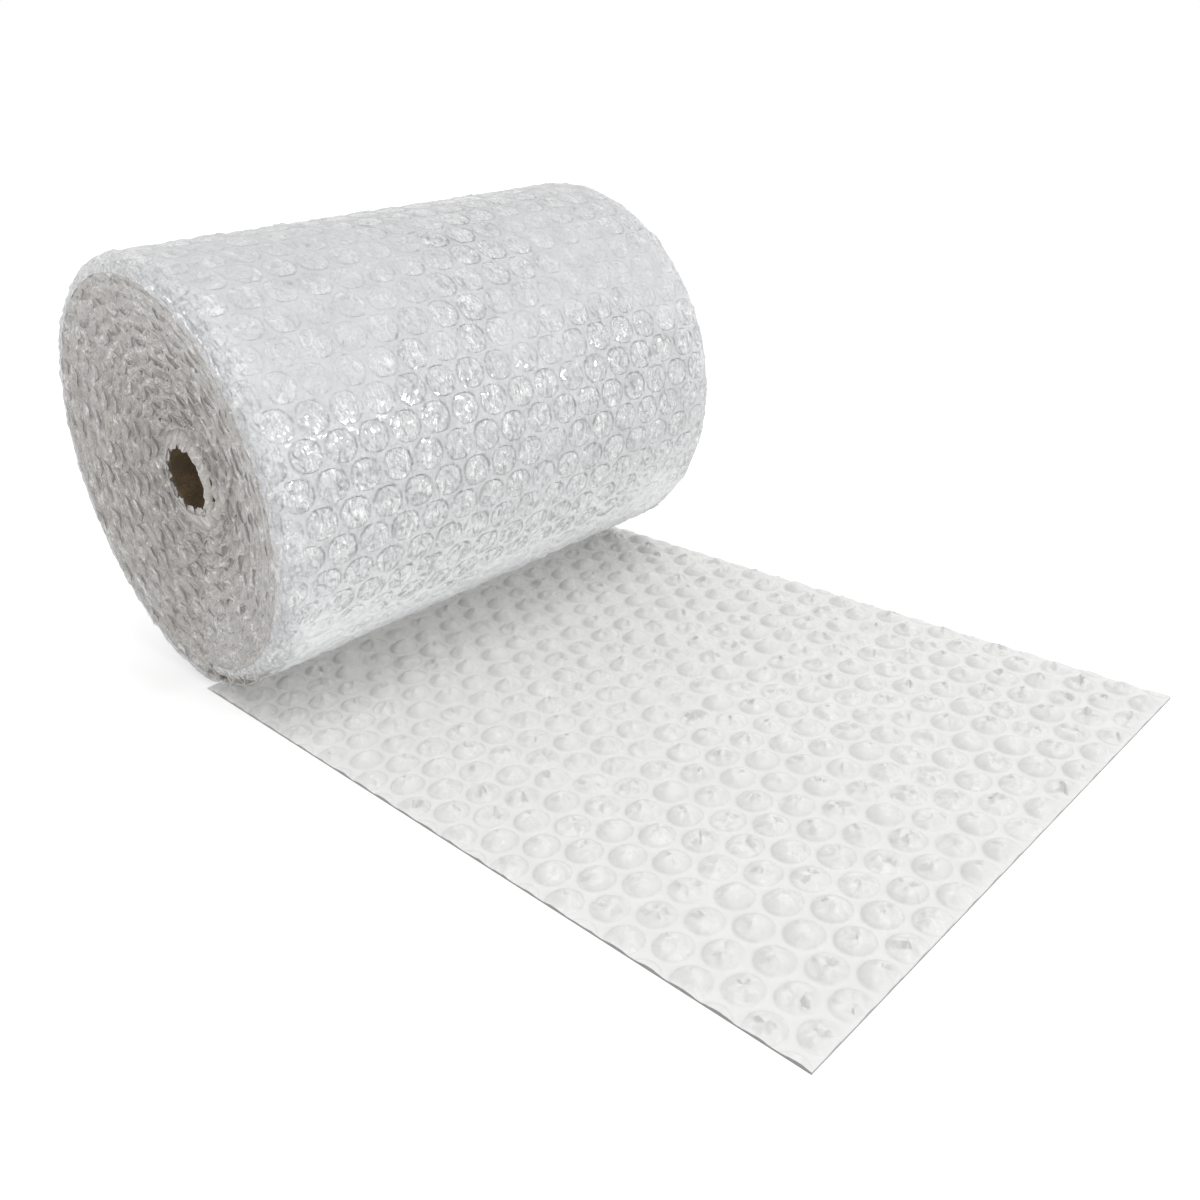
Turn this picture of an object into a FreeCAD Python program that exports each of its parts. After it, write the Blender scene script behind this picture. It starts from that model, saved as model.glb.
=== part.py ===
"""A roll of air-bubble cushioning film on a cardboard tube, with its loose end laid out flat.

Millimetres. X runs along the roll's axis, the loose end reaches towards -Y, and Z is up.
The sheet is wound with its bubbles facing the tube. Its smooth film is the outside of every turn
and the underside of the loose end, where the bubbles stand up.
"""

import FreeCAD
import Part

import math
import os

Vec = FreeCAD.Vector

# Cardboard tube
tube_bore = 39.0
tube_wall = 3.0
tube_inset = 16.5  # from each end of the roll to the end of the tube
tube_clearance = 0.3  # between the tube and the first turn, on the radius

# Wound sheet
roll_width = 305.0
turn_count = 12
layer_pitch = 8.0  # from one turn to the next
film = 1.0  # the smooth film, with the flanges of its bubbles
layer_step = 1.35  # how much further in each turn's edge lies than that of the turn outside it
turn_sides = 15  # straight runs in each inner turn
flat_squash = 0.8  # how far the roll's weight flattens its underside

# Bubbles
bubble_pitch = 18.43  # along a row, and the rows run along X
row_pitch = 16.3  # from one row to the next, which is offset by half a bubble
outer_row_pitch = 17.1  # the same on the outside of the roll, where the film is stretched
bubble_height = 6.4  # above the film
cap_share = 0.62  # a bubble's flat top, as a share of its cell
relief = 1.2  # of the bubbles that press through the outside of the roll
first_row = 6.1  # from the cut end to the middle of the first row

# Loose end
tail_reach = 398.0  # from the roll's axis to the cut end
nip_angle = 345.0  # degrees round the outer turn, to where it lifts off the loose end
joint_lap = 3.0  # how far the loose end's solid runs into the roll's

bore_radius = tube_bore / 2 + tube_wall + tube_clearance
roll_radius = bore_radius + turn_count * layer_pitch
axis_height = roll_radius - flat_squash
half_width = roll_width / 2
along = Vec(1, 0, 0)
axis_start = Vec(-half_width, 0, axis_height)


def on_turn(angle, depth, floor=0.0):
    """The (y, z) that lies depth inside the film, at degrees from the underside round by the back."""
    radius = roll_radius - layer_pitch * angle / 360 - depth
    turned = math.radians(angle)
    return radius * math.sin(turned), max(axis_height - radius * math.cos(turned), floor)


nip_y = on_turn(nip_angle, 0)[0]
row_count = round(math.radians(nip_angle) * roll_radius / outer_row_pitch)
row_angles = [nip_angle * row / row_count for row in range(row_count + 1)]


def facet(points):
    """A flat face with the points as its corners."""
    return Part.Face(Part.makePolygon(points + points[:1]))


def prism(outline, start, end):
    """An outline of (y, z) points, drawn out along X from start to end."""
    return facet([Vec(start, y, z) for y, z in outline]).extrude(Vec(end - start, 0, 0))


def sewn(faces):
    """The solid that the faces enclose."""
    skin = Part.makeCompound(faces)
    skin.sewShape()
    solid = Part.Solid(skin.Shells[0])
    if solid.Volume < 0:
        solid.reverse()
    return solid


def cardboard_tube():
    """The plain tube that the sheet is wound on."""
    length = roll_width - 2 * tube_inset
    start = axis_start + along * tube_inset
    outside = Part.makeCylinder(tube_bore / 2 + tube_wall, length, start, along)
    return outside.cut(Part.makeCylinder(tube_bore / 2, length, start, along))


def turn_outline(turn):
    """The (y, z) outline of the roll with the given number of its outer turns taken off."""
    first = nip_angle + 360 * (turn - 1)
    return [on_turn(first + 360 * side / turn_sides, 0) for side in range(turn_sides + 1)]


def wound_turns():
    """All the turns, pressed together, each set a little further in than the turn outside it."""
    outline = [on_turn(angle, relief + film / 2, film / 2) for angle in row_angles]
    outline.append((outline[-1][0], film / 2))
    turns = prism(outline, -half_width, half_width)
    for turn in range(1, turn_count):
        inner = turn_outline(turn)
        edge = half_width - turn * layer_step
        left = prism(inner, -half_width - joint_lap, -edge)
        turns = turns.cut([left, prism(inner, edge, half_width + joint_lap)])
    return turns.cut(Part.makeCylinder(bore_radius, roll_width, axis_start, along))


def outer_row(row, angle):
    """Points along a row of the roll's outside, with whether each lies out over a bubble or in between."""
    half_pitch = bubble_pitch / 2
    steps = math.ceil(half_width / half_pitch) - 1
    places = [step * half_pitch for step in range(1 - steps, steps)]
    depths = [0 if (step + row) % 2 else relief for step in range(1 - steps, steps)]
    places = [-half_width] + places + [half_width]
    depths = [relief / 2] + depths + [relief / 2]
    return [(Vec(x, *on_turn(angle, depth, film / 2)), depth == 0) for x, depth in zip(places, depths)]


def outer_film():
    """The outermost film, with a low four-sided swelling over every bubble under it."""
    rows = [outer_row(row, angle) for row, angle in enumerate(row_angles)]
    under = [on_turn(angle, relief + film, film) for angle in row_angles]
    left = [Vec(-half_width, y, z) for y, z in under]
    right = [Vec(half_width, y, z) for y, z in under]
    faces = []
    for row in range(row_count):
        near, far = rows[row], rows[row + 1]
        for step in range(len(near) - 1):
            a, b, c, d = near[step][0], near[step + 1][0], far[step + 1][0], far[step][0]
            crossed = near[step][1]
            faces += [facet([a, b, d if crossed else c]), facet([b if crossed else a, c, d])]
        faces.append(facet([left[row], right[row], right[row + 1], left[row + 1]]))
    for row in (0, row_count):
        faces.append(facet([left[row]] + [point for point, _ in rows[row]] + [right[row]]))
    faces.append(facet([row[0][0] for row in rows] + left[::-1]))
    faces.append(facet([row[-1][0] for row in rows] + right[::-1]))
    return sewn(faces)


def clipped(points, axis, limit, side):
    """What is left of a flat outline inside a border."""
    kept = []
    for here, there in zip(points, points[1:] + points[:1]):
        before = side * (here[axis] - limit)
        after = side * (there[axis] - limit)
        if before <= 0:
            kept.append(here)
        if before * after < 0:
            kept.append(here + (there - here) * (before / (before - after)))
    return kept


def bubble(x, y):
    """The outlines of one bubble: its flat top and six slopes that meet its neighbours'."""
    side, point, slope = bubble_pitch / 2, 2 * row_pitch / 3, row_pitch / 3
    corners = [(0, point), (side, slope), (side, -slope), (0, -point), (-side, -slope), (-side, slope)]
    low = [Vec(x + dx, y + dy, film) for dx, dy in corners]
    high = [Vec(x + cap_share * dx, y + cap_share * dy, film + bubble_height) for dx, dy in corners]
    return [high] + [[low[i - 1], low[i], high[i], high[i - 1]] for i in range(6)]


def border_wall(outlines, axis, limit):
    """The upright face under the cut edges of the bubbles along one border."""
    across = 1 - axis
    cut = {round(p[across], 5): p for points in outlines for p in points if abs(p[axis] - limit) < 1e-6}
    top = [cut[place] for place in sorted(cut)]
    return facet([Vec(top[0].x, top[0].y, 0)] + top + [Vec(top[-1].x, top[-1].y, 0)])


def loose_end():
    """The sheet laid out flat, with a bubble in every six-sided cell of its pattern."""
    front, back = -tail_reach, nip_y + joint_lap
    borders = [(0, -half_width, -1), (0, half_width, 1), (1, front, -1), (1, back, 1)]
    rows = math.ceil((back - front) / row_pitch) + 1
    columns = math.ceil(half_width / bubble_pitch) + 1
    outlines = []
    for row in range(-1, rows):
        offset = (row + 1) % 2 / 2
        for column in range(-columns, columns):
            for points in bubble((column + offset) * bubble_pitch, front + first_row + row * row_pitch):
                for border in borders:
                    points = clipped(points, *border)
                if len(points) > 2:
                    outlines.append(points)
    faces = [facet(points) for points in outlines]
    faces += [border_wall(outlines, axis, limit) for axis, limit, _ in borders]
    corners = [(-half_width, front), (half_width, front), (half_width, back), (-half_width, back)]
    faces.append(facet([Vec(x, y, 0) for x, y in corners]))
    return sewn(faces)


def flat_start():
    """The flattened film under the roll, from the loose end to where the outer turn leaves the surface."""
    front, back = nip_y + joint_lap / 2, joint_lap
    corners = [(front, 0), (back, 0), (back, film), (front, film)]
    return prism(corners, -half_width, half_width)


sheet = wound_turns().fuse([outer_film(), loose_end(), flat_start()])
middle = Vec(0, -sheet.BoundBox.Center.y, 0)
os.makedirs("parts", exist_ok=True)
for name, piece in (("bubble_film", sheet), ("core_tube", cardboard_tube())):
    piece.translate(middle)
    piece.exportStep("parts/" + name + ".step")
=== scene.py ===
"""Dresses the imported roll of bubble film: its outer turn, its two ends, its loose end and its tube.

Metres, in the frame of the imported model. X runs along the roll, the loose end reaches towards -Y.
The sheet's pieces are shaped flat first, as (across, along, out of the film), and then wound.
"""

from math import atan2, cos, radians, sin, sqrt, tau

import bmesh
import bpy
from mathutils import Matrix, Vector, noise


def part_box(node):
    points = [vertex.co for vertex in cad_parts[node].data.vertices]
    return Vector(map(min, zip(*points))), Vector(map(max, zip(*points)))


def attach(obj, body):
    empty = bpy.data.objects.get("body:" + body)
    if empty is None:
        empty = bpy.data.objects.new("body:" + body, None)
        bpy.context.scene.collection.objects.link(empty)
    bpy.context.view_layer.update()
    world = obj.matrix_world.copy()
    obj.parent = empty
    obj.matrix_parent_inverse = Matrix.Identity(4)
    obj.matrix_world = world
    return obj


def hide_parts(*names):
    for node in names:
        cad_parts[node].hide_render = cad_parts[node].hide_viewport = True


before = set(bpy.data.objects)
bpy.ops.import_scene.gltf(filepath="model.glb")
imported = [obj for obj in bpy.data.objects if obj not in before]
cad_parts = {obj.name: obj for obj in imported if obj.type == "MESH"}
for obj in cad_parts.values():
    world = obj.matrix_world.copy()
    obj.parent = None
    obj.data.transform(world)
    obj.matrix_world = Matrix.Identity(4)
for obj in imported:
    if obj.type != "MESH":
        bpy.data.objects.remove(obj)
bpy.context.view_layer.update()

bl_info = {
    "name": "Bubble Film Roll",
    "version": (1, 0, 0),
    "blender": (4, 5, 0),
    "location": "3D Viewport > Sidebar > Bubble Film",
    "description": "Builds a roll of bubble film round its packed solids",
    "category": "Object",
}

MM = 0.001
film_low, film_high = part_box("bubble_film")
tube_low, tube_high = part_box("core_tube")
HALF_WIDTH = film_high.x
TUBE_RADIUS = (tube_high.z - tube_low.z) / 2
AXIS_Y = (tube_high.y + tube_low.y) / 2
AXIS_Z = (tube_high.z + tube_low.z) / 2
FIRST_ROW = 6.1 * MM  # from the cut end to the first row of bubbles
FILM_WALL = 0.22 * MM  # of the ragged film at the roll's ends
ROOM = 0.2 * MM  # between the innermost film and the tube
FOLD = 2.6 * MM  # how much of the innermost film is folded over the tube's end
SUNK_ENDS = 2.0 * MM  # how far the pressed turns lie inside the ragged edges
TURNS_BEND = 7 * MM  # the slope at the outer edge of the pressed turns
SMOOTH_STRIP = (2400, 3, 9 * MM, 0)  # steps along and across, width and layer
BUBBLE_STRIP = (2800, 6, 11 * MM, 1)
PAINTED_LOW_SIDE_FACTOR = 1.55  # of the wound film's tone, low on its front: painted light against the shade there
BENT_PAINTED_LIGHT_FACTOR = 1.1  # of the wound film's tone at its bent ends, painted lighter against the shade of the bend

# Name, heading from +Y towards +X, rise, strength, and how wide the sun looks
SUNS = (
    ("key", 150, 15, 0.65, 4),
    ("top", 165, 75, 0.5, 20),
    ("front", 176, 8, 0.6, 50),
    ("left", -60, 14, 0.4, 16),
)


class FilmSettings(bpy.types.PropertyGroup):
    """The sheet of bubbles, before it is wound."""

    bubble_pitch: bpy.props.FloatProperty(
        name="Bubble pitch", description="From one bubble to the next in a row",
        default=18.43 * MM, min=5 * MM, unit="LENGTH")
    row_pitch: bpy.props.FloatProperty(
        name="Row pitch", description="From one row of bubbles to the next",
        default=16.3 * MM, min=5 * MM, unit="LENGTH")
    bubble_radius: bpy.props.FloatProperty(
        name="Bubble radius", description="Of the circle where a bubble joins the film",
        default=8.1 * MM, min=2 * MM, unit="LENGTH")
    bubble_height: bpy.props.FloatProperty(
        name="Bubble height", description="Of a full bubble above the film",
        default=6.4 * MM, min=1 * MM, unit="LENGTH")
    thickness: bpy.props.FloatProperty(
        name="Film", description="The smooth film with the flanges of its bubbles",
        default=1.0 * MM, min=0.1 * MM, unit="LENGTH")
    roll_tone: bpy.props.FloatVectorProperty(
        name="Wound film", description="Milky colour of the wound film",
        default=(0.635, 0.64, 0.65), subtype="COLOR", min=0, max=1)
    end_tone: bpy.props.FloatVectorProperty(
        name="Cut edges", description="Colour of the turns' edges at the roll's ends",
        default=(0.58, 0.55, 0.52), subtype="COLOR", min=0, max=1)
    inner_tone: bpy.props.FloatVectorProperty(
        name="Inner turns", description="Colour of the turns behind the outer film",
        default=(0.52, 0.50, 0.475), subtype="COLOR", min=0, max=1)
    loose_tone: bpy.props.FloatVectorProperty(
        name="Loose film", description="Colour of the loose end on a white surface",
        default=(0.925, 0.925, 0.915), subtype="COLOR", min=0, max=1)


class RollSettings(bpy.types.PropertyGroup):
    """How the sheet is wound."""

    turn_count: bpy.props.IntProperty(
        name="Turns", description="Turns of film round the tube", default=12, min=2)
    turn_pitch: bpy.props.FloatProperty(
        name="Turn pitch", description="From one turn to the next",
        default=8.0 * MM, min=2 * MM, unit="LENGTH")
    turn_step: bpy.props.FloatProperty(
        name="Turn step", description="How much further in each turn's edge lies",
        default=1.35 * MM, min=0, unit="LENGTH")
    outer_rows: bpy.props.IntProperty(
        name="Outer rows", description="Rows of bubbles in the outer turn", default=42, min=8)
    nip_angle: bpy.props.FloatProperty(
        name="Nip", description="Where the outer rows end, round from the underside",
        default=radians(345), subtype="ANGLE")
    film_end: bpy.props.FloatProperty(
        name="Film end", description="Where the outer turn goes in over the loose end",
        default=radians(355), subtype="ANGLE")
    relief: bpy.props.FloatProperty(
        name="Relief", description="Of the bubbles that press through the outside",
        default=1.2 * MM, min=0, unit="LENGTH")
    rim_bend: bpy.props.FloatProperty(
        name="Rim bend", description="Radius that the outer film bends over at each end",
        default=10 * MM, min=2 * MM, unit="LENGTH")


class TubeSettings(bpy.types.PropertyGroup):
    """The cardboard tube."""

    board: bpy.props.FloatVectorProperty(
        name="Board", description="Colour of the brown board",
        default=(0.22, 0.16, 0.095), subtype="COLOR", min=0, max=1)
    ply_width: bpy.props.FloatProperty(
        name="Ply width", description="Width of the wound paper strip along the tube",
        default=62 * MM, min=10 * MM, unit="LENGTH")


class StageSettings(bpy.types.PropertyGroup):
    """Floor, light and camera."""

    ambient: bpy.props.FloatProperty(
        name="Ambient", description="Strength of the even light from all round", default=0.69, min=0)
    camera_place: bpy.props.FloatVectorProperty(
        name="Camera", description="Where the camera stands", default=(-0.3777, -0.4051, 0.2992),
        subtype="TRANSLATION", unit="LENGTH")
    camera_turn: bpy.props.FloatProperty(
        name="Heading", description="Camera heading from +Y towards +X",
        default=radians(44.18), subtype="ANGLE")
    camera_dip: bpy.props.FloatProperty(
        name="Dip", description="Camera angle below the horizon", default=radians(25.4), subtype="ANGLE")
    camera_roll: bpy.props.FloatProperty(
        name="Roll", description="Camera turned about its own line of sight",
        default=radians(-3.6), subtype="ANGLE")
    lens: bpy.props.FloatProperty(
        name="Lens", description="Focal length on a 36 mm wide sensor", default=33.97)


def ramp(low, high, value):
    """A smooth step from 0 at low to 1 at high."""
    share = min(max((value - low) / (high - low), 0), 1)
    return share * share * (3 - 2 * share)


def wobble(x, y, z, size):
    """Smooth noise from about -1 to 1, with lumps of the given size."""
    return noise.noise(Vector((x, y, z)) / size)


def facets(x, y, layer, size):
    """A height that leans one way on each little flat of a crumpled film."""
    place = Vector((x / size, y / size, layer))
    middle = noise.voronoi(place)[1][0]
    return size * (place - middle).dot(noise.cell_vector(middle * 9) - Vector((0.5, 0.5, 0.5)))


def roll_radius():
    """The spiral's radius where the outer turn leaves the surface."""
    return film_high.z - AXIS_Z + bpy.context.scene.wound_roll.turn_pitch / 2


def on_turn(angle, depth, floor=0.0):
    """The (y, z) that lies depth inside the film, at an angle from the underside round by the back."""
    radius = roll_radius() - bpy.context.scene.wound_roll.turn_pitch * angle / tau - depth
    return AXIS_Y + radius * sin(angle), max(AXIS_Z - radius * cos(angle), floor)


def angle_at(length):
    """The angle round the spiral at a length of film from where it leaves the surface."""
    shrink = bpy.context.scene.wound_roll.turn_pitch / tau
    start = roll_radius()
    return (start - sqrt(start * start - 2 * shrink * length)) / shrink


def film_length(turns):
    """The length of film in the outermost turns of the roll."""
    total = turns * tau
    return roll_radius() * total - bpy.context.scene.wound_roll.turn_pitch / tau * total * total / 2


def nearest_bubble(x, y, row_pitch):
    """How far (x, y) is from the middle of its bubble, and that bubble's row and middle."""
    pitch = bpy.context.scene.bubble_film.bubble_pitch
    row = round(y / row_pitch)
    offset = 0.5 if row % 2 == 0 else 0
    middle = (round(x / pitch - offset) + offset) * pitch
    return sqrt((x - middle) ** 2 + (y - row * row_pitch) ** 2), row, middle


def cell_sheet(first_row, last_row, row_pitch, rings, cuts):
    """A flat sheet of six-sided cells, each with rings of points round the middle of its bubble."""
    pitch = bpy.context.scene.bubble_film.bubble_pitch
    bm = bmesh.new()
    bmesh.ops.create_circle(bm, cap_ends=True, segments=6, radius=1)
    bmesh.ops.scale(bm, vec=(pitch / sqrt(3), 2 * row_pitch / 3, 1), verts=bm.verts)
    bmesh.ops.subdivide_edges(bm, edges=bm.edges, cuts=cuts)
    for ring in rings:
        inner = max(bm.faces, key=lambda face: len(face.verts))
        bmesh.ops.inset_individual(bm, faces=[inner], thickness=ring / 50, use_even_offset=True)
        for vert in inner.verts:
            vert.co = vert.co.normalized() * ring
    bmesh.ops.poke(bm, faces=[max(bm.faces, key=lambda face: len(face.verts))])
    columns = int(HALF_WIDTH / pitch) + 2
    repeat(bm, [Vector((pitch * column, 0, 0)) for column in range(-columns, columns + 1)])
    shifts = []
    for row in range(first_row, last_row + 1):
        shifts.append(Vector((pitch / 2 if row % 2 == 0 else 0, row * row_pitch, 0)))
    repeat(bm, shifts)
    return bm


def only_verts(parts):
    """The vertices among some parts of a mesh."""
    return [part for part in parts if isinstance(part, bmesh.types.BMVert)]


def repeat(bm, shifts):
    """Sets a copy of everything at each shift, and joins the copies where they meet."""
    cell = bm.verts[:] + bm.edges[:] + bm.faces[:]
    for shift in shifts[1:]:
        copy = bmesh.ops.duplicate(bm, geom=cell)["geom"]
        bmesh.ops.translate(bm, vec=shift, verts=only_verts(copy))
    bmesh.ops.translate(bm, vec=shifts[0], verts=only_verts(cell))
    bmesh.ops.remove_doubles(bm, verts=bm.verts, dist=0.02 * MM)


def trim(bm, low, high):
    """Cuts a flat sheet off straight at low and high, two (x, y) corners."""
    for place, outward in (((low[0], 0, 0), (-1, 0, 0)), ((high[0], 0, 0), (1, 0, 0)),
                           ((0, low[1], 0), (0, -1, 0)), ((0, high[1], 0), (0, 1, 0))):
        parts = bm.verts[:] + bm.edges[:] + bm.faces[:]
        bmesh.ops.bisect_plane(bm, geom=parts, dist=0.001 * MM, plane_co=place, plane_no=outward,
                               clear_outer=True)


def add_underside(bm, depth, half_width):
    """Gives a sheet a plain underside at the depth, so that it is closed all round."""
    rim = [edge for edge in bm.edges if edge.is_boundary]
    made = bmesh.ops.extrude_edge_only(bm, edges=rim)["geom"]
    for vert in only_verts(made):
        vert.co.z = -depth
    sides = []
    for edge in bm.edges:
        if edge.is_boundary:
            edge.smooth = False
            if all(abs(abs(vert.co.x) - half_width) < 0.01 * MM for vert in edge.verts):
                sides.append(edge)
    for edge in rim:
        edge.smooth = False
    bmesh.ops.bridge_loops(bm, edges=sides)
    bmesh.ops.holes_fill(bm, edges=[edge for edge in bm.edges if edge.is_boundary], sides=0)


def write_flat_map(bm):
    """Keeps the flat sheet's own (x, y) as the map that its creases follow."""
    flat = bm.loops.layers.uv.new("flat")
    for face in bm.faces:
        for loop in face.loops:
            loop[flat].uv = loop.vert.co.xy


def finish_film(bm, name, material):
    """Makes a piece of the film, which rides on the roll and stands for its plain solid."""
    bmesh.ops.recalc_face_normals(bm, faces=bm.faces)
    mesh = bpy.data.meshes.new(name)
    bm.to_mesh(mesh)
    bm.free()
    mesh.materials.append(material)
    piece = bpy.data.objects.new(name, mesh)
    bpy.context.collection.objects.link(piece)
    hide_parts("bubble_film")
    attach(piece, "root")
    return piece


def add_node(tree, kind, inputs=None, **settings):
    """A node with its settings made and its sockets set, or linked where the value is a socket."""
    made = tree.nodes.new(kind)
    for name, value in settings.items():
        setattr(made, name, value)
    for name, value in (inputs or {}).items():
        if isinstance(value, bpy.types.NodeSocket):
            tree.links.new(value, made.inputs[name])
        else:
            made.inputs[name].default_value = value
    return made


def maths(tree, operation, first, second=0.0, clamp=False):
    """The result of a Math node."""
    made = add_node(tree, "ShaderNodeMath", {0: first, 1: second}, operation=operation, use_clamp=clamp)
    return made.outputs[0]


def vectors(tree, operation, first, second):
    """The result of a Vector Math node."""
    return add_node(tree, "ShaderNodeVectorMath", {0: first, 1: second}, operation=operation)


def between(tree, value, low, high, start=0.0, end=1.0):
    """The value drawn out smoothly from low..high to start..end, and held there."""
    made = add_node(tree, "ShaderNodeMapRange", {"Value": value, "From Min": low, "From Max": high,
                    "To Min": start, "To Max": end}, interpolation_type="SMOOTHSTEP")
    return made.outputs["Result"]


def blend_colours(tree, share, first, second):
    """Two colours mixed by a share."""
    made = add_node(tree, "ShaderNodeMix", {"Factor": share, "A": first, "B": second}, data_type="RGBA")
    return made.outputs["Result"]


def flat_noise(tree, place, scale, detail):
    """A noise texture on a flat map."""
    return add_node(tree, "ShaderNodeTexNoise", {"Vector": place, "Scale": scale, "Detail": detail},
                    noise_dimensions="2D").outputs


def flat_cells(tree, place, scale, feature):
    """A pattern of random cells on a flat map."""
    return add_node(tree, "ShaderNodeTexVoronoi", {"Vector": place, "Scale": scale},
                    voronoi_dimensions="2D", feature=feature).outputs


def crinkle_group():
    """The node group that crumples clear film: flat little facets, creases and drawn-out strokes, which the
    materials paint white as partly whiter film and partly painted glints.
    """
    if "film_crinkle" in bpy.data.node_groups:
        return bpy.data.node_groups["film_crinkle"]
    group = bpy.data.node_groups.new("film_crinkle", "ShaderNodeTree")
    group.interface.new_socket("Vector", in_out="INPUT", socket_type="NodeSocketVector")
    for name in ("Facet Size", "Draw Out"):
        group.interface.new_socket(name, in_out="INPUT", socket_type="NodeSocketFloat")
    for name in ("Height", "Creases", "Strokes", "Cloud"):
        group.interface.new_socket(name, in_out="OUTPUT", socket_type="NodeSocketFloat")
    inputs = group.nodes.new("NodeGroupInput").outputs
    outputs = group.nodes.new("NodeGroupOutput").inputs
    soft = flat_noise(group, inputs["Vector"], 160.0, 1.0)
    push = vectors(group, "SUBTRACT", soft["Color"], (0.5, 0.5, 0.5)).outputs[0]
    bent = add_node(group, "ShaderNodeVectorMath", {0: push, "Scale": inputs["Facet Size"]},
                    operation="SCALE").outputs[0]
    place = vectors(group, "ADD", inputs["Vector"], bent).outputs[0]
    height = 0.0
    for share, weight in ((1.0, 1.0), (0.42, 0.7)):
        scale = maths(group, "DIVIDE", 1 / share, inputs["Facet Size"])
        cells = flat_cells(group, place, scale, "F1")
        away = vectors(group, "SUBTRACT", place, cells["Position"]).outputs[0]
        lean = vectors(group, "SUBTRACT", cells["Color"], (0.5, 0.5, 0.5)).outputs[0]
        leaning = vectors(group, "DOT_PRODUCT", away, lean).outputs["Value"]
        height = maths(group, "ADD", maths(group, "MULTIPLY", leaning, weight), height)
    edges = flat_cells(group, place, maths(group, "DIVIDE", 1.6, inputs["Facet Size"]), "DISTANCE_TO_EDGE")
    cloud = flat_noise(group, inputs["Vector"], 70.0, 2.0)
    patchy = between(group, cloud["Fac"], 0.38, 0.56)
    line = between(group, edges["Distance"], 0.0, 0.065, 1.0, 0.0)
    squeeze = maths(group, "DIVIDE", 1.0, inputs["Draw Out"])
    along = add_node(group, "ShaderNodeCombineXYZ", {"X": 1.0, "Y": squeeze})
    drawn = vectors(group, "MULTIPLY", place, along.outputs[0]).outputs[0]
    strands = flat_noise(group, drawn, 270.0, 1.0)
    off = maths(group, "ABSOLUTE", maths(group, "SUBTRACT", strands["Fac"], 0.5))
    stroke = between(group, off, 0.0, 0.05, 1.0, 0.0)
    folds = maths(group, "MULTIPLY", strands["Fac"], inputs["Facet Size"])
    group.links.new(maths(group, "ADD", height, folds), outputs["Height"])
    group.links.new(maths(group, "MULTIPLY", line, patchy), outputs["Creases"])
    group.links.new(maths(group, "MULTIPLY", stroke, patchy), outputs["Strokes"])
    group.links.new(cloud["Fac"], outputs["Cloud"])
    return group


def mask(tree, name):
    """What a piece's vertices hold under a name, 0 where they hold nothing."""
    return add_node(tree, "ShaderNodeAttribute", attribute_name=name).outputs["Fac"]


def shade(tone, factor):
    """A tone made lighter or darker by a factor."""
    return tuple(min(1, channel * factor) for channel in tone) + (1,)


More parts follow.
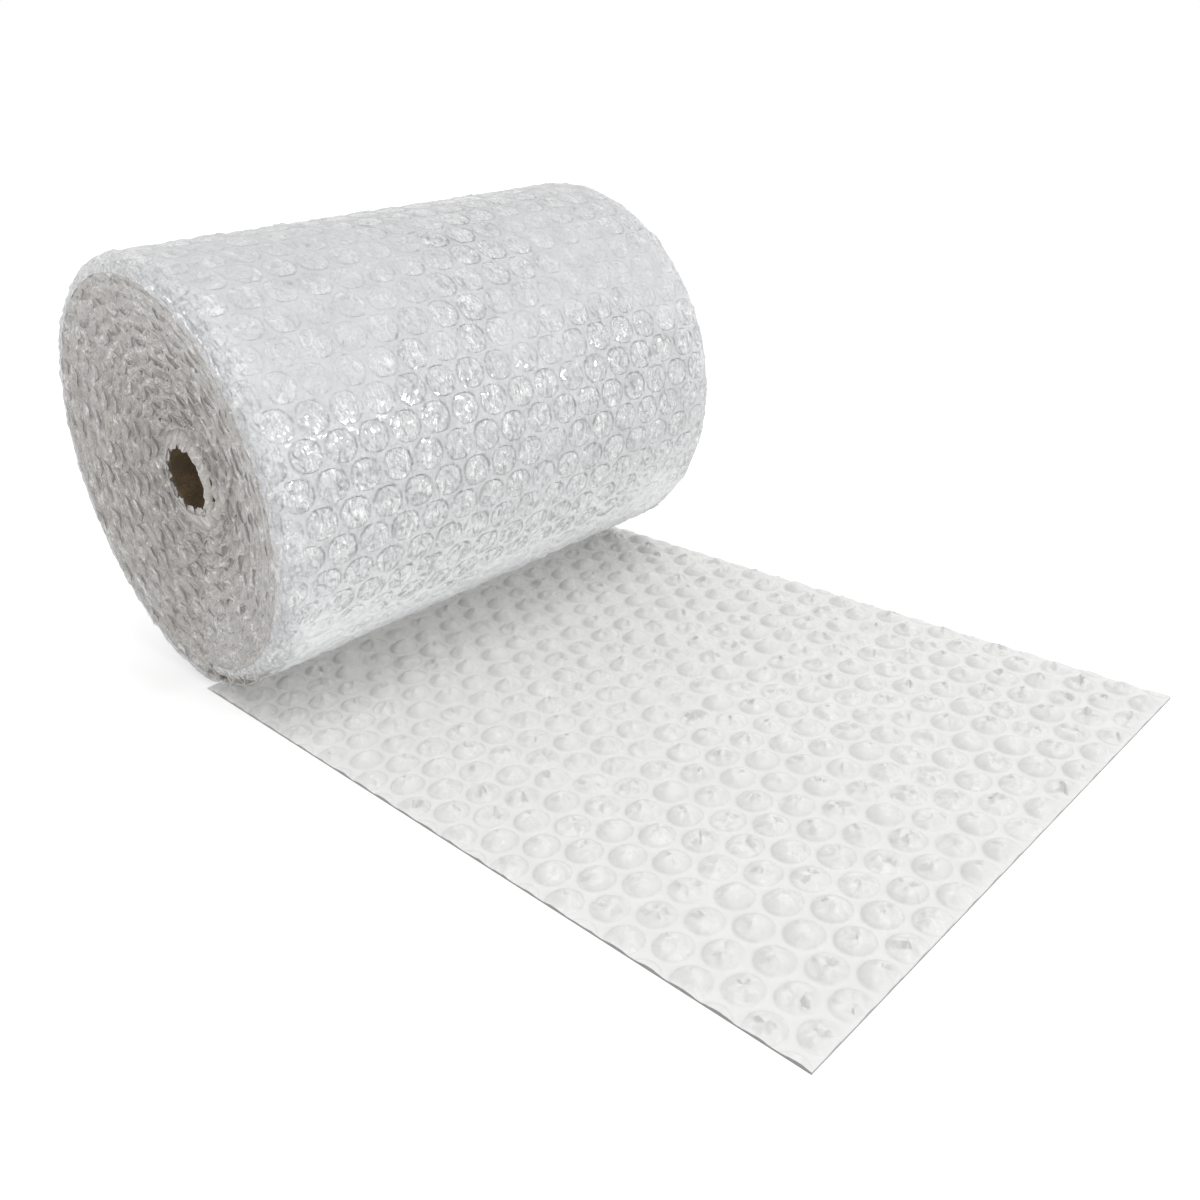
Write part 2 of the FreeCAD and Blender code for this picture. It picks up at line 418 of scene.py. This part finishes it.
def film_material(name, tone, look):
    """Milky, glossy, crumpled film of one tone, with clearer bubbles between its milky webs.

    A piece's vertices hold bubble, the distance from the bubble's middle over its radius, and crisp,
    how clearly the bubbles show. The outer turn's also hold rim, for its bent ends, which are painted
    lighter against the shade of the bend, and a mask that paints its low front side lighter, against
    the shade that falls there.
    """
    material = bpy.data.materials.new(name)
    material.use_nodes = True
    tree = material.node_tree
    shader = tree.nodes["Principled BSDF"]
    crinkle = add_node(tree, "ShaderNodeGroup", node_tree=crinkle_group())
    tree.links.new(add_node(tree, "ShaderNodeUVMap", uv_map="flat").outputs["UV"], crinkle.inputs["Vector"])
    crinkle.inputs["Facet Size"].default_value = look["facet"]
    crinkle.inputs["Draw Out"].default_value = look["draw_out"]
    share, bent = mask(tree, "bubble"), mask(tree, "rim")
    shown = between(tree, mask(tree, "crisp"), 0.0, 1.0, look["milky"], 1.0)
    inside = between(tree, share, 0.8, 1.0, 1.0, 0.0)
    rim = maths(tree, "MULTIPLY", between(tree, share, 0.88, 0.97),
                between(tree, share, 1.0, 1.08, 1.0, 0.0))
    cloud = between(tree, crinkle.outputs["Cloud"], 0.3, 0.7)
    outline = shade(tone, look["rim"])
    colour = blend_colours(tree, cloud, shade(tone, look["dull"]), (*tone, 1))
    # Inside the bubbles: partly the clearer film, partly painted shade of what lies behind it; on the wound
    # film a painted lift against the shading of its bumps.
    colour = blend_colours(tree, maths(tree, "MULTIPLY", inside, shown), colour, shade(tone, look["clear"]))
    colour = blend_colours(tree, maths(tree, "MULTIPLY", rim, shown), colour, outline)
    # Painted light: the low front side is made lighter, against the shade that falls there.
    colour = blend_colours(tree, mask(tree, "painted_low_side"), colour, shade(tone, PAINTED_LOW_SIDE_FACTOR))
    # Painted light: the bent ends are made lighter, against the shade of the bend.
    colour = blend_colours(tree, bent, colour, shade(tone, BENT_PAINTED_LIGHT_FACTOR))
    folded = maths(tree, "MULTIPLY", crinkle.outputs["Creases"], look["folds"])
    colour = blend_colours(tree, maths(tree, "MULTIPLY", folded, inside), colour, outline)
    # Painted highlights: most creases and the strokes are painted white, partly the whiter creased film,
    # partly painted glints.
    creases = maths(tree, "MULTIPLY", crinkle.outputs["Creases"], 1 - look["folds"])
    crease_glints = maths(tree, "MAXIMUM", creases, crinkle.outputs["Strokes"])
    where = between(tree, share, 0.85, 1.1, look["crease_glints"], look["crease_glints"] * look["web_crease_glints"])
    # The bent ends get these painted glints too.
    where = maths(tree, "MAXIMUM", where, maths(tree, "MULTIPLY", bent, 0.8))
    lit = maths(tree, "MULTIPLY", maths(tree, "MULTIPLY", crease_glints, where), shown)
    colour = blend_colours(tree, lit, colour, (1.0, 1.0, 1.0, 1))
    tree.links.new(colour, shader.inputs["Base Color"])
    crumple = maths(tree, "MAXIMUM", between(tree, share, 0.9, 1.15, 1.0, look["web_crumple"]), bent)
    height = maths(tree, "MULTIPLY", maths(tree, "MULTIPLY", crinkle.outputs["Height"], crumple), shown)
    bump = add_node(tree, "ShaderNodeBump", {"Height": height, "Strength": 1.0, "Distance": look["tilt"]})
    lifted = vectors(tree, "ADD", bump.outputs["Normal"], (0.0, 0.0, look["lift"])).outputs[0]
    facing = add_node(tree, "ShaderNodeVectorMath", {0: lifted}, operation="NORMALIZE").outputs[0]
    tree.links.new(facing, shader.inputs["Normal"])
    smooth = maths(tree, "MULTIPLY", between(tree, share, 0.9, 1.1, 1.0, 0.0), shown)
    tree.links.new(between(tree, smooth, 0.0, 1.0, look["web_rough"], 0.14), shader.inputs["Roughness"])
    gloss = maths(tree, "MULTIPLY", between(tree, share, 0.9, 1.1, look["coat"], look["web_coat"]), shown)
    gloss = maths(tree, "MAXIMUM", gloss, maths(tree, "MULTIPLY", bent, 0.5))
    tree.links.new(gloss, shader.inputs["Coat Weight"])
    path = tree.nodes.new("ShaderNodeLightPath").outputs
    through = maths(tree, "MAXIMUM", path["Is Shadow Ray"], path["Is Diffuse Ray"])
    passed = maths(tree, "MULTIPLY", through, look["passes"])
    tree.links.new(maths(tree, "SUBTRACT", 1.0, passed), shader.inputs["Alpha"])
    shader.inputs["IOR"].default_value = 1.4
    shader.inputs["Coat Roughness"].default_value = 0.05
    return material


# How each material differs. Factors of its tone: dull and clear for the film, rim round each bubble.
# The clear factor inside the bubbles is partly the clearer film and partly painted shade of what lies
# behind it, and on the wound film a painted lift against the shading of its bumps. Marks are the
# creases and strokes painted white, partly whiter creased film and partly painted glints, folds the
# share of the creases that is dark instead. Passes is the light let through, lift how far normals
# lean up, and milky how much of a bubble shows in milky patches.
# The web is the film between the bubbles.
WOUND_LOOK = {
    "facet": 3.2 * MM, "draw_out": 3.0, "tilt": 1.0, "lift": 0.0,
    "dull": 0.95, "clear": 1.04, "rim": 0.86, "milky": 0.32,
    "crease_glints": 1.0, "folds": 0.0, "coat": 1.0, "passes": 0.84,
    "web_crease_glints": 0.2, "web_crumple": 0.4, "web_rough": 0.5, "web_coat": 0.1,
}
CUT_LOOK = {
    "facet": 3.0 * MM, "draw_out": 3.0, "tilt": 0.6, "lift": 0.0,
    "dull": 0.92, "clear": 0.97, "rim": 0.95, "milky": 0.6,
    "crease_glints": 0.6, "folds": 0.2, "coat": 0.4, "passes": 0.8,
    "web_crease_glints": 1.0, "web_crumple": 1.0, "web_rough": 0.3, "web_coat": 0.4,
}
INNER_LOOK = {
    "facet": 2.6 * MM, "draw_out": 3.0, "tilt": 0.9, "lift": 0.0,
    "dull": 0.88, "clear": 1.0, "rim": 1.0, "milky": 1.0,
    "crease_glints": 0.7, "folds": 0.2, "coat": 0.6, "passes": 0.8,
    "web_crease_glints": 1.0, "web_crumple": 1.0, "web_rough": 0.25, "web_coat": 1.0,
}
LOOSE_LOOK = {
    "facet": 4.2 * MM, "draw_out": 1.6, "tilt": 0.5, "lift": 4.0,
    "dull": 0.98, "clear": 1.0, "rim": 0.93, "milky": 0.5,
    "crease_glints": 0.9, "folds": 0.6, "coat": 0.3, "passes": 0.92,
    "web_crease_glints": 0.3, "web_crumple": 0.4, "web_rough": 0.4, "web_coat": 0.1,
}


class BUBBLEFILM_OT_roll(bpy.types.Operator):
    """Builds the outer turn of the roll, with its bubbles showing through the smooth film"""

    bl_idname = "bubblefilm.roll"
    bl_label = "Outer Turn"

    def execute(self, context):
        film, roll = context.scene.bubble_film, context.scene.wound_roll
        per_row = roll.nip_angle / roll.outer_rows
        pitch = per_row * (roll_radius() - roll.turn_pitch / 2)
        rings = [film.bubble_radius * share for share in (1.08, 0.95, 0.66, 0.34)]
        last = roll.film_end / per_row
        reach = HALF_WIDTH - roll.rim_bend + roll.rim_bend * radians(90)
        bm = cell_sheet(-1, int(last) + 2, pitch, rings, 3)
        trim(bm, (-reach, 0), (reach, last * pitch))
        add_underside(bm, 1.0 * MM, reach)
        write_flat_map(bm)
        bubble = bm.verts.layers.float.new("bubble")
        crisp = bm.verts.layers.float.new("crisp")
        rim = bm.verts.layers.float.new("rim")
        painted_low_side = bm.verts.layers.float.new("painted_low_side")
        for vert in bm.verts:
            x, y, z = vert.co
            away, row, middle = nearest_bubble(x, y, pitch)
            share = away / film.bubble_radius
            angle = y / pitch * per_row
            vert[bubble] = share
            drifted = abs(x) + 5 * MM * wobble(x, y, 13, 15 * MM)
            vert[rim] = ramp(HALF_WIDTH - 2.2 * roll.rim_bend, HALF_WIDTH, drifted)
            vert[crisp] = max(self.crispness(x, y, angle), 0.8 * vert[rim])
            # Painted light: this mask lightens the low front side, against the shade that falls there.
            vert[painted_low_side] = ramp(radians(270), radians(318), angle)
            if z > -0.5 * MM:
                inside = 1 - ramp(0.80, 1.06, share)
                fullness = 0.2 + 0.25 * noise.cell(Vector((row, middle / MM, 3)))
                crumple = 0.5 * wobble(x, y / 2, 2, 4 * MM) + facets(x, y, 7, 5 * MM) / MM
                groove = 0.25 * MM * (ramp(0.9, 1.0, share) - ramp(1.0, 1.16, share))
                z = roll.relief * inside * (fullness + 0.2 * crumple) - groove
                z += 0.2 * MM * wobble(x, y, 1, 12 * MM)
                z += 0.35 * MM * wobble(x * 2.5, y / 3, 6, 10 * MM) * ramp(0, 0.8 * HALF_WIDTH, x)
                z += vert[rim] * (0.15 * facets(x, y, 9, 7 * MM) + 0.15 * MM * wobble(x, y, 12, 6 * MM))
            turned = max(0, abs(x) - HALF_WIDTH + roll.rim_bend) / roll.rim_bend
            if z < -0.5 * MM:
                z *= 1 - 0.9 * ramp(0.8, 1.5, turned)
            depth = roll.relief - z
            if turned:
                across = HALF_WIDTH - roll.rim_bend + (roll.rim_bend - depth) * sin(turned)
                ragged = ramp(0.9, 1.5, turned) * 0.7 * MM * wobble(0, y, 15 if x > 0 else 19, 9 * MM)
                depth = roll.rim_bend - (roll.rim_bend - depth) * cos(turned)
                x = (across + ragged - 0.7 * MM * ramp(0.9, 1.5, turned)) * (1 if x > 0 else -1)
            vert.co = (x, *on_turn(angle, depth, 0.4 * MM))
        for face in bm.faces:
            face.smooth = True
        finish_film(bm, "roll_film", film_material("wound_film", film.roll_tone, WOUND_LOOK))
        return {"FINISHED"}

    def crispness(self, x, y, angle):
        """How clearly the bubbles show through, from 0 where the film is milky to 1."""
        patch = wobble(x, y, 8, 70 * MM) + 0.6 * wobble(x, y, 9, 25 * MM)
        # The band across the front shows the bubbles most, and with them their painted glints, where the
        # light catches the roll; it strengthens their bumps and gloss there too.
        front = ramp(radians(225), radians(262), angle) * ramp(radians(322), radians(288), angle)
        under = ramp(radians(296), radians(322), angle)
        return ramp(-0.7, 0.9, patch + 0.75 * front - 0.1 - 0.9 * under)


class BUBBLEFILM_OT_ends(bpy.types.Operator):
    """Builds the wound turns inside the roll and the crumpled film edges at its two ends"""

    bl_idname = "bubblefilm.ends"
    bl_label = "Roll Ends"

    def execute(self, context):
        film, roll = context.scene.bubble_film, context.scene.wound_roll
        material = film_material("cut_film", film.end_tone, CUT_LOOK)
        start = film_length(0.9)
        length = film_length(roll.turn_count) - start
        for side, name in ((-1, "roll_end_left"), (1, "roll_end_right")):
            bm = bmesh.new()
            bubble = bm.verts.layers.float.new("bubble")
            crisp = bm.verts.layers.float.new("crisp")
            flat = bm.loops.layers.uv.new("flat")
            for steps, across, reach, layer in (SMOOTH_STRIP, BUBBLE_STRIP):
                made = bmesh.ops.create_grid(bm, x_segments=steps, y_segments=across, size=0.5)["verts"]
                for vert in made:
                    vert.co = (start + (vert.co.x + 0.5) * length, (0.5 - vert.co.y) * reach, 0)
                for face in {face for vert in made for face in vert.link_faces}:
                    for loop in face.loops:
                        loop[flat].uv = (loop.vert.co.y + layer, loop.vert.co.x)
                for vert in made:
                    vert[bubble] = self.place(vert, side, layer, film, roll)
                    vert[crisp] = ramp(-0.4, 0.4, wobble(*vert.co, 20 * MM))
            for face in bm.faces:
                face.smooth = True
            piece = finish_film(bm, name, material)
            wall = piece.modifiers.new("film", "SOLIDIFY")
            wall.thickness = FILM_WALL
            wall.offset = 0
        inner_material = film_material("inner_film", film.inner_tone, INNER_LOOK)
        finish_film(self.turns(roll), "roll_turns", inner_material)
        return {"FINISHED"}

    def place(self, vert, side, layer, film, roll):
        """Winds one point of a strip of film: layer 0 is the smooth film, and 1 its bubbles."""
        along, inward = vert.co.x, vert.co.y
        angle = angle_at(along)
        loose = ramp(8 * MM, 0, inward)
        ragged = 1.0 * MM * wobble(along, layer, side * 3, 8 * MM)
        ragged += 0.6 * MM * wobble(along, layer, side, 3 * MM)
        room = max(0, roll_radius() - roll.turn_pitch * angle / tau - TUBE_RADIUS - ROOM)
        innermost = ramp(roll.turn_count - 1.3, roll.turn_count - 1, angle / tau)
        edge = HALF_WIDTH - 0.6 * MM - roll.turn_step * angle / tau
        edge += (ragged + 2.5 * MM * innermost) * loose
        depth = 1.4 * MM + 0.5 * MM * wobble(along, inward, side + 11, 10 * MM)
        depth += loose * 1.2 * MM * wobble(along, inward, side + 21 + layer, 5 * MM)
        share = 1.2
        if layer:
            away, row, middle = nearest_bubble(HALF_WIDTH - inward, along, film.row_pitch)
            share = away / film.bubble_radius
            cap = film.bubble_height * max(0, 1 - share ** 4) ** 0.5 if share < 1 else 0
            depth += 0.4 * MM + cap * (0.75 + 0.4 * wobble(along, inward, side + 31, 4 * MM))
        folded = innermost * ramp(FOLD, 0, inward)
        depth = min(depth, room) + folded * (room + MM * (2.5 + 0.9 * wobble(along, 0, side + 41, 5 * MM)))
        y, z = on_turn(angle, depth, 0.8 * MM)
        vert.co = (side * (edge - inward), y, z)
        return share

    def turns(self, roll):
        """The turns behind the edges, turned as one closed ring round the tube."""
        bm = bmesh.new()
        inner = TUBE_RADIUS + 0.3 * MM
        outer = roll_radius() - roll.turn_pitch
        deep = HALF_WIDTH - SUNK_ENDS
        dish = roll.turn_step * roll.turn_count
        corners = [(-deep, outer - TURNS_BEND), (TURNS_BEND - deep, outer), (deep - TURNS_BEND, outer),
                   (deep, outer - TURNS_BEND), (deep - dish, inner), (dish - deep, inner)]
        verts = [bm.verts.new((x, AXIS_Y, AXIS_Z - radius)) for x, radius in corners]
        edges = [bm.edges.new((verts[i - 1], verts[i])) for i in range(len(verts))]
        bmesh.ops.spin(bm, geom=verts + edges, cent=(0, AXIS_Y, AXIS_Z), axis=(1, 0, 0), angle=tau,
                       steps=120, use_merge=True)
        bmesh.ops.remove_doubles(bm, verts=bm.verts, dist=0.001 * MM)
        spans = {edge: abs(edge.verts[0].co.x - edge.verts[1].co.x) for edge in bm.edges}
        rings = [edge for edge, span in spans.items() if 0.1 < span / dish < 1.1]
        bmesh.ops.subdivide_edges(bm, edges=rings, cuts=56, use_grid_fill=True)
        for vert in bm.verts:
            y, z = vert.co.y - AXIS_Y, AXIS_Z - vert.co.z
            radius = sqrt(y * y + z * z)
            angle = atan2(y, z) % tau
            reach = ramp(inner, outer, radius) * (roll.turn_pitch * (1 - angle / tau) - 3.2 * MM)
            turn = (roll_radius() - radius - reach) / roll.turn_pitch - angle / tau
            sunk = 0.8 * MM * sin(radians(180) * (turn - 0.18)) ** 2 - 0.2 * MM
            side = 1 if vert.co.x > 0 else -1
            vert.co.x += 0.9 * MM * wobble(*vert.co, 6 * MM) - side * sunk
            vert.co.y = AXIS_Y + (radius + reach) * sin(angle)
            vert.co.z = max(AXIS_Z - (radius + reach) * cos(angle), 1.5 * MM)
        flat = bm.loops.layers.uv.new("flat")
        for face in bm.faces:
            face.smooth = True
            middle = face.calc_center_median()
            heading = atan2(middle.y - AXIS_Y, AXIS_Z - middle.z)
            for loop in face.loops:
                y, z = loop.vert.co.y - AXIS_Y, AXIS_Z - loop.vert.co.z
                across = y * cos(heading) - z * sin(heading)
                radius = y * sin(heading) + z * cos(heading)
                loop[flat].uv = (radius, heading * 0.09 + across)
        return bm


class BUBBLEFILM_OT_loose_end(bpy.types.Operator):
    """Builds the loose end, laid out flat with its crumpled bubbles up"""

    bl_idname = "bubblefilm.loose_end"
    bl_label = "Loose End"

    def execute(self, context):
        film, roll = context.scene.bubble_film, context.scene.wound_roll
        length = AXIS_Y - film_low.y
        rings = [film.bubble_radius * share for share in (1.02, 0.96, 0.86, 0.66, 0.42, 0.2)]
        bm = cell_sheet(-1, int(length / film.row_pitch) + 2, film.row_pitch, rings, 3)
        trim(bm, (-HALF_WIDTH, -FIRST_ROW), (HALF_WIDTH, length - FIRST_ROW))
        add_underside(bm, film.thickness, HALF_WIDTH)
        write_flat_map(bm)
        bubble = bm.verts.layers.float.new("bubble")
        crisp = bm.verts.layers.float.new("crisp")
        for vert in bm.verts:
            x, y, z = vert.co
            vert[crisp] = ramp(-0.6, 0.6, wobble(x, y, 8, 50 * MM))
            along = film_low.y + FIRST_ROW + y
            if z < -0.5 * film.thickness:
                vert.co = (x, along, 0)
                continue
            away, row, middle = nearest_bubble(x, y, film.row_pitch)
            share = away / film.bubble_radius
            vert[bubble] = share
            lean = (x - middle) * noise.cell(Vector((row, middle / MM, 1)))
            lean += (y - row * film.row_pitch) * noise.cell(Vector((row, middle / MM, 2)))
            full = 0.62 + 0.26 * noise.cell(Vector((row, middle / MM, 3)))
            cap = max(0, 1 - share ** 2) ** 0.9 if share < 1 else 0
            pressed = ramp(0, 7 * MM, HALF_WIDTH - abs(x)) * ramp(0, 7 * MM, along - film_low.y)
            cap *= 0.3 + 0.7 * pressed
            dents = 0.35 * abs(wobble(x, y, 4, 4.5 * MM))
            top = film.bubble_height * (full - dents) + 0.12 * lean + 1.35 * facets(x, y, 11, 5 * MM)
            z = film.thickness + cap * min(top, 0.72 * film.bubble_height)
            z += 0.15 * MM * wobble(x, y, 1, 9 * MM)
            reach = AXIS_Y - along
            radius = roll_radius() - roll.turn_pitch * ramp(0, 28 * MM, reach)
            if reach < radius:
                z = min(z, AXIS_Z - sqrt(radius * radius - reach * reach) + 0.2 * MM)
            vert.co = (x, along, max(z, 0.5 * MM))
        for face in bm.faces:
            face.smooth = True
        finish_film(bm, "loose_end_film", film_material("loose_film", film.loose_tone, LOOSE_LOOK))
        return {"FINISHED"}


class BUBBLEFILM_OT_tube(bpy.types.Operator):
    """Gives the cardboard tube its wound brown paper"""

    bl_idname = "bubblefilm.tube"
    bl_label = "Cardboard Tube"

    def execute(self, context):
        tube = context.scene.cardboard_tube
        material = bpy.data.materials.new("tube_paper")
        material.use_nodes = True
        tree = material.node_tree
        shader = tree.nodes["Principled BSDF"]
        place = tree.nodes.new("ShaderNodeTexCoord").outputs["Object"]
        split = add_node(tree, "ShaderNodeSeparateXYZ", {0: place})
        y = maths(tree, "SUBTRACT", split.outputs["Y"], AXIS_Y)
        z = maths(tree, "SUBTRACT", split.outputs["Z"], AXIS_Z)
        turn = maths(tree, "DIVIDE", maths(tree, "ARCTAN2", y, z), tau)
        wound = maths(tree, "ADD", maths(tree, "DIVIDE", split.outputs["X"], tube.ply_width), turn)
        share = maths(tree, "FRACT", wound)
        seam = between(tree, share, 0.0, 0.02, 1.0, 0.0)
        fibres = add_node(tree, "ShaderNodeTexNoise", {"Vector": place, "Scale": 900.0, "Detail": 4.0})
        patches = add_node(tree, "ShaderNodeTexNoise", {"Vector": place, "Scale": 70.0, "Detail": 2.0})
        dark, light = shade(tube.board, 0.62), shade(tube.board, 1.2)
        mixed = maths(tree, "MULTIPLY", fibres.outputs["Fac"], patches.outputs["Fac"])
        colour = blend_colours(tree, between(tree, mixed, 0.12, 0.4), dark, light)
        colour = blend_colours(tree, maths(tree, "MULTIPLY", seam, 0.7), colour, dark)
        tree.links.new(colour, shader.inputs["Base Color"])
        height = maths(tree, "SUBTRACT", fibres.outputs["Fac"], seam)
        bump = add_node(tree, "ShaderNodeBump", {"Height": height, "Strength": 0.6, "Distance": 0.2 * MM})
        tree.links.new(bump.outputs["Normal"], shader.inputs["Normal"])
        tree.links.new(between(tree, fibres.outputs["Fac"], 0.3, 0.7, 0.7, 0.9), shader.inputs["Roughness"])
        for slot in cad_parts["core_tube"].material_slots:
            slot.material = material
        return {"FINISHED"}


class BUBBLEFILM_OT_stage(bpy.types.Operator):
    """Sets out the white floor, the soft light and the camera"""

    bl_idname = "bubblefilm.stage"
    bl_label = "Stage"

    def execute(self, context):
        stage = context.scene.film_stage
        scene = context.scene
        scene.view_settings.view_transform = "Standard"
        self.add_floor()
        self.add_world(scene, stage)
        for name, turn, rise, strength, spread in SUNS:
            lamp = bpy.data.lights.new(name, "SUN")
            lamp.energy = strength
            lamp.angle = radians(spread)
            lit = bpy.data.objects.new(name, lamp)
            around, up = radians(turn), radians(rise)
            towards = Vector((sin(around) * cos(up), cos(around) * cos(up), sin(up)))
            lit.rotation_euler = towards.to_track_quat("Z", "Y").to_euler()
            scene.collection.objects.link(lit)
        self.add_camera(scene, stage)
        return {"FINISHED"}

    def add_floor(self):
        """A large white floor that keeps the shadow."""
        bm = bmesh.new()
        bmesh.ops.create_grid(bm, x_segments=1, y_segments=1, size=15)
        bmesh.ops.translate(bm, vec=(0, 0, -0.2 * MM), verts=bm.verts)
        mesh = bpy.data.meshes.new("floor")
        bm.to_mesh(mesh)
        bm.free()
        floor = bpy.data.objects.new("floor", mesh)
        bpy.context.collection.objects.link(floor)
        material = bpy.data.materials.new("white_floor")
        material.use_nodes = True
        tree = material.node_tree
        shader = tree.nodes["Principled BSDF"]
        shader.inputs["Base Color"].default_value = (0.95, 0.95, 0.95, 1)
        shader.inputs["Roughness"].default_value = 1.0
        shader.inputs["Specular IOR Level"].default_value = 0.0
        shader.inputs["Emission Color"].default_value = (1, 1, 1, 1)
        path = tree.nodes.new("ShaderNodeLightPath")
        seen = maths(tree, "MULTIPLY", path.outputs["Is Camera Ray"], 0.35)
        tree.links.new(seen, shader.inputs["Emission Strength"])
        mesh.materials.append(material)

    def add_world(self, scene, stage):
        """Even light from all round, behind a background that is seen as white."""
        world = bpy.data.worlds.new("studio")
        scene.world = world
        world.use_nodes = True
        tree = world.node_tree
        background = tree.nodes["Background"]
        path = tree.nodes.new("ShaderNodeLightPath").outputs
        seen = maths(tree, "MAXIMUM", path["Is Camera Ray"],
                     maths(tree, "MAXIMUM", path["Is Glossy Ray"], path["Is Transmission Ray"]))
        background.inputs["Color"].default_value = (1, 1, 1, 1)
        tree.links.new(maths(tree, "ADD", maths(tree, "MULTIPLY", seen, 1 - stage.ambient), stage.ambient),
                       background.inputs["Strength"])

    def add_camera(self, scene, stage):
        """The camera at the photograph's angle."""
        turn, dip, roll = stage.camera_turn, stage.camera_dip, stage.camera_roll
        ahead = Vector((sin(turn) * cos(dip), cos(turn) * cos(dip), -sin(dip)))
        right = ahead.cross(Vector((0, 0, 1))).normalized()
        up = right.cross(ahead)
        tilted_right = cos(roll) * right + sin(roll) * up
        tilted_up = cos(roll) * up - sin(roll) * right
        lens = bpy.data.cameras.new("camera")
        lens.lens = stage.lens
        lens.sensor_width = 36
        lens.clip_start = 0.01
        camera = bpy.data.objects.new("camera", lens)
        turned = Matrix((tilted_right, tilted_up, -ahead)).transposed()
        camera.matrix_world = Matrix.Translation(stage.camera_place) @ turned.to_4x4()
        scene.collection.objects.link(camera)
        scene.camera = camera


class BUBBLEFILM_PT_panel(bpy.types.Panel):
    """Lists the sizes, the colours and the pieces"""

    bl_idname = "BUBBLEFILM_PT_panel"
    bl_label = "Bubble Film Roll"
    bl_space_type = "VIEW_3D"
    bl_region_type = "UI"
    bl_category = "Bubble Film"

    def draw(self, context):
        scene = context.scene
        for settings in (scene.bubble_film, scene.wound_roll, scene.cardboard_tube, scene.film_stage):
            box = self.layout.box()
            for name in settings.__annotations__:
                box.prop(settings, name)
        for operator in OPERATORS:
            self.layout.operator(operator.bl_idname)


SETTINGS = (
    ("bubble_film", FilmSettings),
    ("wound_roll", RollSettings),
    ("cardboard_tube", TubeSettings),
    ("film_stage", StageSettings),
)
OPERATORS = (
    BUBBLEFILM_OT_stage,
    BUBBLEFILM_OT_roll,
    BUBBLEFILM_OT_ends,
    BUBBLEFILM_OT_loose_end,
    BUBBLEFILM_OT_tube,
)


def register():
    """Registers the settings, the operators and the panel."""
    for name, settings in SETTINGS:
        bpy.utils.register_class(settings)
        setattr(bpy.types.Scene, name, bpy.props.PointerProperty(type=settings))
    for listed in (*OPERATORS, BUBBLEFILM_PT_panel):
        bpy.utils.register_class(listed)


def unregister():
    """Takes them all away again."""
    for listed in (BUBBLEFILM_PT_panel, *reversed(OPERATORS)):
        bpy.utils.unregister_class(listed)
    for name, settings in reversed(SETTINGS):
        delattr(bpy.types.Scene, name)
        bpy.utils.unregister_class(settings)


def main():
    """Builds everything in order."""
    register()
    bpy.ops.bubblefilm.stage()
    bpy.ops.bubblefilm.roll()
    bpy.ops.bubblefilm.ends()
    bpy.ops.bubblefilm.loose_end()
    bpy.ops.bubblefilm.tube()
    bpy.context.view_layer.update()


if __name__ == "__main__":
    main()
